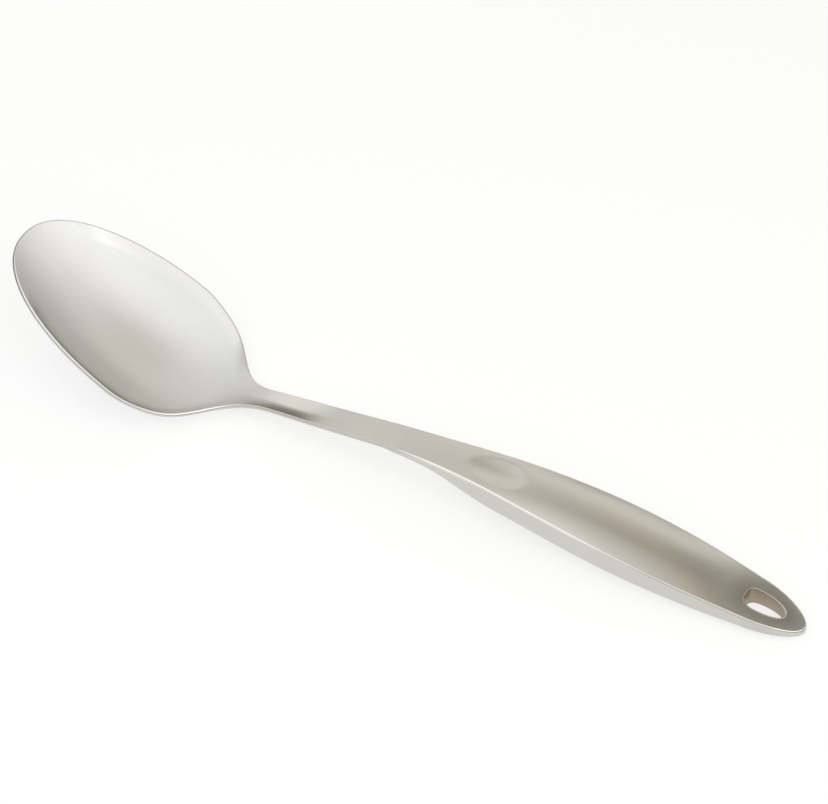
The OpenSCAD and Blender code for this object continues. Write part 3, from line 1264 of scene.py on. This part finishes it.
@dataclass
class HandleTopShell(HandleShell):
    """The crowned upper half of the handle, with the thumb dimple."""

    name: str = "handle_top_pressing"
    node: str = "handle_top_shell"

    @cached_property
    def rim_line(self) -> Array:
        """Points of the shell's rim in plan, from the mouth to the end.

        Returns:
            Points in X and Y, closer together round the end.
        """
        form = self.form
        turn = np.linspace(0, QUARTER_TURN, FINE_STEPS)
        bend = form.end_x - form.end_round * (1 - np.sin(turn))
        sides = np.linspace(form.mouth_x, bend[0], 2 * FINE_STEPS)[:-1]
        return form.inset(np.concatenate([sides, bend]), form.seam_setback)

    def reach(self, x: Array) -> tuple[Array, Array]:
        """Find the row of points that belongs to a place along the outline.

        Args:
            x: Places along the outline.

        Returns:
            Place along the spoon and half width of each row.
        """
        flat = np.asarray(x, float)
        p = self.form.inset(flat.ravel(), self.form.seam_setback).reshape(*flat.shape, 2)
        return p[..., 0], p[..., 1]

    def face(self, x: Array, v: Array, inner: bool) -> Array:
        """Points of the shell's upper face, or of the face a sheet's thickness below it.

        Args:
            x: Places along the spoon.
            v: Places across, from -1 on the near rim to 1 on the far one.
            inner: The face inside the handle, not the outer one.

        Returns:
            Points in X, Y and Z.
        """
        row_x, half = self.reach(x)
        y = v * half
        z = self.form.height(row_x, y) - (self.form.shell if inner else 0)
        return np.stack([row_x, y, z], -1)

    def place_across(self, plan: Array) -> Array:
        """Places across of points in plan, as shares of the rim's half width."""
        return plan[:, 1] / np.interp(plan[:, 0], self.rim_line[:, 0], self.rim_line[:, 1])

    def grain_at(self, x: Array, v: Array) -> Array:
        """Grain places: the shell in plan, in millimetres."""
        row_x, half = self.reach(x)
        return np.stack([row_x, v * half], -1)


@dataclass
class HandleBottomShell(HandleShell):
    """The boat-shaped lower half of the handle."""

    name: str = "handle_bottom_pressing"
    node: str = "handle_bottom_shell"
    across: int = 72

    @cached_property
    def turn_table(self) -> tuple[Array, Array]:
        """Spread places evenly across a typical section.

        Returns:
            Even places across from -1 to 1, and the section's angle at each.
        """
        form = self.form
        angle = np.linspace(0, math.pi, 10 * FINE_STEPS + 1)
        power = 2 / form.hull_power
        share = -np.sign(np.cos(angle)) * np.abs(np.cos(angle)) ** power
        depth = np.sin(angle) ** power * form.hull_depth
        steps = np.hypot(np.diff(share * form.handle_width / 2), np.diff(depth))
        run = np.concatenate([[0], np.cumsum(steps)])
        return run / run[-1] * 2 - 1, angle

    def face(self, x: Array, v: Array, inner: bool) -> Array:
        """Points of the shell's outer face, or of the face inside the handle.

        Args:
            x: Places along the spoon.
            v: Places across, from -1 on the near rim to 1 on the far one.
            inner: The face inside the handle, not the outer one.

        Returns:
            Points in X, Y and Z.
        """
        form = self.form
        flat = np.asarray(x, float)
        p = form.inset(flat.ravel(), form.shell if inner else 0.0).reshape(*flat.shape, 2)
        angle = np.interp(v, *self.turn_table)
        power = 2 / form.hull_power
        depth = form.hull.at(flat) - form.shell * (2 if inner else 1)
        y = -p[..., 1] * np.sign(np.cos(angle)) * np.abs(np.cos(angle)) ** power
        rim = form.rim(flat.ravel()).reshape(flat.shape)
        return np.stack([p[..., 0], y, rim - depth * np.sin(angle) ** power], -1)

    def place_across(self, plan: Array) -> Array:
        """Places across of points in plan, along the section.

        Args:
            plan: Points in X and Y.

        Returns:
            Places from -1 to 1.
        """
        share = plan[:, 1] / self.form.half_width(plan[:, 0])
        angle = np.arccos(-np.sign(share) * np.abs(share) ** (self.form.hull_power / 2))
        even, turn = self.turn_table
        return np.interp(angle, turn, even)

    def grain_at(self, x: Array, v: Array) -> Array:
        """Grain places: along the spoon, and along the section, in millimetres."""
        return np.stack([x, v * self.form.handle_width], -1)


@dataclass
class HangHoleSleeve(SpoonPiece):
    """The blunt oval tube that lines the hang hole, with a rounded lip at both ends.

    The lip is glossier and lighter towards the end of the handle; the lighter colour is a painted
    highlight.
    """

    name: str = "hang_hole_tube"
    node: str = "hang_hole_sleeve"
    slot: str = "sleeve_steel"
    turns: int = 144
    lip_round: float = 0.25
    lip_steps: int = 6
    wall_steps: int = 4

    def draft(self) -> Draft:
        """Draw the tube ring by ring round the hole.

        Returns:
            The draft of the tube.
        """
        form = self.form
        around = np.linspace(0, 2 * math.pi, self.turns + 1)
        wall = form.hole_edge(around, form.sleeve_wall)
        high = form.height(wall[:, 0], wall[:, 1])[:, None]
        low = form.underside(wall[:, 0], wall[:, 1])[:, None]
        turn = np.linspace(0, QUARTER_TURN, self.lip_steps + 1)[None]
        lip = self.lip_round * (1 - np.sin(turn))
        drop = self.lip_round * (1 - np.cos(turn))
        between = np.linspace(0, 1, self.wall_steps + 1)[None, 1:-1]
        shaft = (high - self.lip_round) * (1 - between) + (low + self.lip_round) * between
        z = np.concatenate([high, high - drop, shaft, low + drop[:, ::-1], low, high], 1)
        full = np.array([[form.sleeve_wall]])
        reach = np.concatenate([full, lip, 0 * between, lip[:, ::-1], full, full], 1)
        plan = form.hole_edge(*np.broadcast_arrays(around[:, None], reach))
        points = np.concatenate([plan, z[..., None]], -1)
        steps = np.linalg.norm(np.diff(wall, axis=0), axis=1)
        run = np.concatenate([[0], np.cumsum(steps)])
        grain = np.stack(np.broadcast_arrays(run[:, None], z), -1)
        # Painted highlight: the lip is lighter and glossier towards the handle's end.
        painted_highlight_side = (1 + np.cos(around[:, None])) / 2
        draft = Draft(form)
        draft.rows(points, grain, (reach > 0) * painted_highlight_side)
        return draft


@dataclass
class EdgeSeamWeld(SpoonPiece):
    """The weld along both edges of the handle and round its end, rounded by grinding.

    Its painted highlight is brightest between the two middle places of painted_highlight_run,
    shares of the handle's length, and greys towards the outer two.
    """

    name: str = "edge_seam_bead"
    node: str = "edge_seam_weld"
    slot: str = "polished_weld"
    along: int = 130
    end_steps: int = 56
    round_steps: int = 6
    painted_highlight_run: tuple[float, ...] = (0.0, 0.09, 0.45, 0.65)

    def draft(self) -> Draft:
        """Draw the bead from the mouth down one edge, round the end and back up the other.

        Returns:
            The draft of the bead.
        """
        form = self.form
        bend = form.end_x - form.end_round
        turn = np.linspace(0, QUARTER_TURN, self.end_steps + 1)
        sides = np.linspace(form.mouth_x, bend, self.along, endpoint=False)
        x = np.concatenate([sides, bend + form.end_round * np.sin(turn)])
        rim = form.rim(x)
        corner = np.concatenate([form.inset(x, form.seam_setback), rim[:, None]], -1)
        lines = [corner]
        for a in np.linspace(QUARTER_TURN, 0, self.round_steps + 1):
            p = form.inset(x, form.seam_setback * (1 - math.sin(a)))
            lines.append(np.concatenate([p, (rim + form.shell * math.cos(a))[:, None]], -1))
        lines.append(corner)
        far = np.stack(lines, 1)
        near = far * [1, -1, 1]
        ring = np.concatenate([near, far[-2::-1]])
        run = np.concatenate([x, 2 * form.end_x - x[-2::-1]])
        over = np.arange(ring.shape[1]) * form.shell / 4
        grain = np.stack(np.broadcast_arrays(run[:, None], over), -1)
        # Painted highlight: lightest along the middle of the sides, greyer towards the mouth and
        # the end.
        share = (ring[..., 0] - form.mouth_x) / form.handle_length
        draft = Draft(form)
        draft.cap_ends(draft.rows(ring, grain, np.interp(share, self.painted_highlight_run, (1, 0, 0, 1))))
        return draft


@dataclass
class NeckWeld(SpoonPiece):
    """The fillet weld under the handle's mouth, where the bottom shell meets the stem."""

    name: str = "neck_fillet_bead"
    node: str = "neck_weld"
    slot: str = "polished_weld"
    across: int = 40
    hollow_steps: int = 8

    def draft(self) -> Draft:
        """Draw the fillet section by section across the stem.

        Returns:
            The draft of the fillet.
        """
        form = self.form
        y = np.linspace(-1, 1, self.across + 1) * form.tang_width / 2
        mouth, back = form.mouth_x, form.mouth_x - form.weld_length
        at = [np.full_like(y, place) for place in (mouth, back)]
        root, toe = (form.height(place, y) - form.thickness(place) for place in at)
        low = form.underside(at[0], y)
        middle = (2 * toe + low) / 3
        t = np.linspace(0, 1, self.hollow_steps + 1)
        pull = 2 * middle - (toe + low) / 2
        z = toe[:, None] * (1 - t) ** 2 + 2 * pull[:, None] * t * (1 - t) + low[:, None] * t**2
        x = back + (mouth - back) * t
        face = np.stack(np.broadcast_arrays(x, y[:, None], z), -1)
        corner = np.stack([at[0], y, root], -1)[:, None]
        ring = np.concatenate([face, corner, face[:, :1]], 1)
        draft = Draft(form)
        draft.cap_ends(draft.rows(ring, ring[..., :2]))
        return draft


@dataclass
class SoftBox:
    """A lamp behind a cloth: where it hangs, what it points at and how bright it looks."""

    name: str
    place: Place
    aim: Place
    width: float
    height: float
    brightness: float
    colour: str = WHITE_CLOTH

    def build(self) -> bpy.types.Object:
        """Hang the lamp.

        Returns:
            The lamp object.
        """
        lamp = bpy.data.lights.new(self.name, "AREA")
        lamp.shape = "RECTANGLE"
        lamp.size = self.width
        lamp.size_y = self.height
        lamp.color = linear(self.colour)[:3]
        lamp.energy = self.brightness * math.pi * self.width * self.height
        box = bpy.data.objects.new(self.name, lamp)
        box.location = self.place
        way = Vector(self.aim) - Vector(self.place)
        box.rotation_euler = way.to_track_quat("-Z", "Y").to_euler()
        bpy.context.scene.collection.objects.link(box)
        return box


def overhead(
    name: str, x: float, y: float, width: float, depth: float, brightness: float, cloth: str
) -> SoftBox:
    """Make a lamp of the ceiling, which points straight down.

    Args:
        name: Name of the lamp.
        x: Its place along the table.
        y: Its place towards the back.
        width: Its size along the table.
        depth: Its size towards the back.
        brightness: How bright it looks.
        cloth: Colour of its cloth.

    Returns:
        The lamp, not hung yet.
    """
    return SoftBox(name, (x, y, CEILING), (x, y, 0), width, depth, brightness, cloth)


@dataclass
class Studio:
    """White table, soft light and the camera at the photograph's viewing angle, in metres.

    The ceiling is made of lamps side by side, which the satin steel mirrors as soft bands.
    """

    azimuth: float = 29.5
    elevation: float = 45.0
    distance: float = 1.0
    focal_pixels: float = 2740.36
    sensor_width: float = 36.0
    clip: tuple[float, float] = (0.01, 50.0)
    target: Place = (0.00665, 0.0, 0.0379)
    floor_half: float = 4.0
    floor_drop: float = 0.05 * MM
    floor_colour: str = "#FCFCFB"
    floor_glow: float = 0.7
    room: float = 0.03
    boxes: list[SoftBox] = field(
        default_factory=lambda: [
            overhead("overhead_near", 0, -0.4, 1.6, 0.8, 1.31, WHITE_CLOTH),
            overhead("overhead_left", -0.6, 0.2, 0.4, 0.4, 1.25, WHITE_CLOTH),
            overhead("overhead_left_front", -0.225, 0.1, 0.35, 0.2, 1.07, WHITE_CLOTH),
            overhead("overhead_left_back", -0.225, 0.3, 0.35, 0.2, 0.76, WARM_CLOTH),
            overhead("overhead_middle", 0.025, 0.2, 0.15, 0.4, 0.82, WHITE_CLOTH),
            overhead("overhead_right", 0.45, 0.2, 0.7, 0.4, 0.58, WARM_CLOTH),
            overhead("overhead_far_left", -0.5, 0.6, 0.6, 0.4, 0.72, WHITE_CLOTH),
            overhead("overhead_far_gap", -0.125, 0.5, 0.15, 0.2, 0.28, WHITE_CLOTH),
            overhead("overhead_far_back", -0.05, 0.7, 0.3, 0.2, 0.70, WARM_CLOTH),
            overhead("overhead_far_right", 0.125, 0.5, 0.35, 0.2, 0.31, WARM_CLOTH),
            SoftBox("right_wall", (0.8, 0, 0.6), (0, 0, 0.6), 1.6, 0.4, 3.10),
            SoftBox("left_wall", (-0.8, 0, 0.6), (0, 0, 0.6), 1.6, 0.4, 0.97),
            SoftBox("back_wall", (0, 0.8, 0.533), (0, 0, 0.533), 1.6, 0.534, 0.97, CREAM_CLOTH),
            SoftBox("front_wall", (0, -0.8, 0.6), (0, 0, 0.6), 1.6, 0.4, 1.20),
            SoftBox("front_low", (0, -0.8, 0.2), (0, 0, 0.2), 1.6, 0.4, 0.45),
        ]
    )

    def camera(self) -> bpy.types.Object:
        """Set up the camera.

        Returns:
            The camera object, which the scene uses.
        """
        lens = bpy.data.cameras.new("product_camera")
        lens.sensor_fit = "HORIZONTAL"
        lens.sensor_width = self.sensor_width
        lens.lens = self.focal_pixels * self.sensor_width / IMAGE_WIDTH
        lens.clip_start, lens.clip_end = self.clip
        camera = bpy.data.objects.new("product_camera", lens)
        turn, rise = math.radians(self.azimuth), math.radians(self.elevation)
        level = math.cos(rise)
        away = Vector((math.sin(turn) * level, -math.cos(turn) * level, math.sin(rise)))
        camera.location = Vector(self.target) + self.distance * away
        camera.rotation_euler = (-away).to_track_quat("-Z", "Y").to_euler()
        bpy.context.scene.collection.objects.link(camera)
        bpy.context.scene.camera = camera
        return camera

    def laminate(self) -> bpy.types.Material:
        """Make the table's white laminate: plain and matt, and white to the eye and in mirrors.

        Returns:
            Material that keeps the spoon's shadow.
        """
        material = bpy.data.materials.new("white_laminate")
        material.use_nodes = True
        tree = material.node_tree
        tree.nodes.clear()
        plain = add_node(tree, "ShaderNodeBsdfDiffuse", {"Color": linear(self.floor_colour)})
        white = add_node(tree, "ShaderNodeEmission", {"Color": (1, 1, 1, 1), "Strength": 1.0})
        rays = add_node(tree, "ShaderNodeLightPath").outputs
        seen = rays["Is Camera Ray"]
        for ray in ("Is Glossy Ray", "Is Transmission Ray"):
            seen = add_node(
                tree, "ShaderNodeMath", {"operation": "MAXIMUM"}, {0: seen, 1: rays[ray]}
            ).outputs[0]
        share = add_node(
            tree, "ShaderNodeMath", {"operation": "MULTIPLY", 1: self.floor_glow}, {0: seen}
        ).outputs[0]
        shader = add_node(
            tree,
            "ShaderNodeMixShader",
            None,
            {0: share, 1: plain.outputs["BSDF"], 2: white.outputs["Emission"]},
        ).outputs["Shader"]
        add_node(tree, "ShaderNodeOutputMaterial", None, {"Surface": shader})
        return material

    def floor(self) -> bpy.types.Object:
        """Lay the white table under the spoon.

        Returns:
            The floor object.
        """
        mesh = bpy.data.meshes.new("white_table")
        signs = ((-1, -1), (1, -1), (1, 1), (-1, 1))
        corners = [(a * self.floor_half, b * self.floor_half, -self.floor_drop) for a, b in signs]
        mesh.from_pydata(corners, [], [(0, 1, 2, 3)])
        mesh.materials.append(self.laminate())
        table = bpy.data.objects.new("white_table", mesh)
        bpy.context.scene.collection.objects.link(table)
        return table

    def world(self) -> bpy.types.World:
        """Leave a little light in the room behind the cloths.

        Returns:
            The world that the scene uses.
        """
        world = bpy.data.worlds.new("studio_room")
        world.use_nodes = True
        tree = world.node_tree
        tree.nodes.clear()
        light = add_node(
            tree, "ShaderNodeBackground", {"Color": (1, 1, 1, 1), "Strength": self.room}
        ).outputs["Background"]
        add_node(tree, "ShaderNodeOutputWorld", None, {"Surface": light})
        bpy.context.scene.world = world
        return world

    def build(self) -> None:
        """Put up the camera, the table and the light."""
        self.camera()
        self.floor()
        self.world()
        for box in self.boxes:
            box.build()
        bpy.context.scene.view_settings.view_transform = "Standard"


def main() -> None:
    """Build the spoon piece by piece, then the studio round it."""
    logging.basicConfig(level=logging.INFO, format="%(message)s")
    form = SpoonForm()
    for piece in (
        BowlAndStem(form, BRUSHED_SHEET),
        HandleTopShell(form, BRUSHED_HANDLE),
        HandleBottomShell(form, BRUSHED_HANDLE),
        HangHoleSleeve(form, DRAWN_TUBE),
        EdgeSeamWeld(form, POLISHED_WELD_WITH_PAINTED_HIGHLIGHT),
        NeckWeld(form, POLISHED_WELD_WITH_PAINTED_HIGHLIGHT),
    ):
        piece.build()
    Studio().build()


if __name__ == "__main__":
    main()
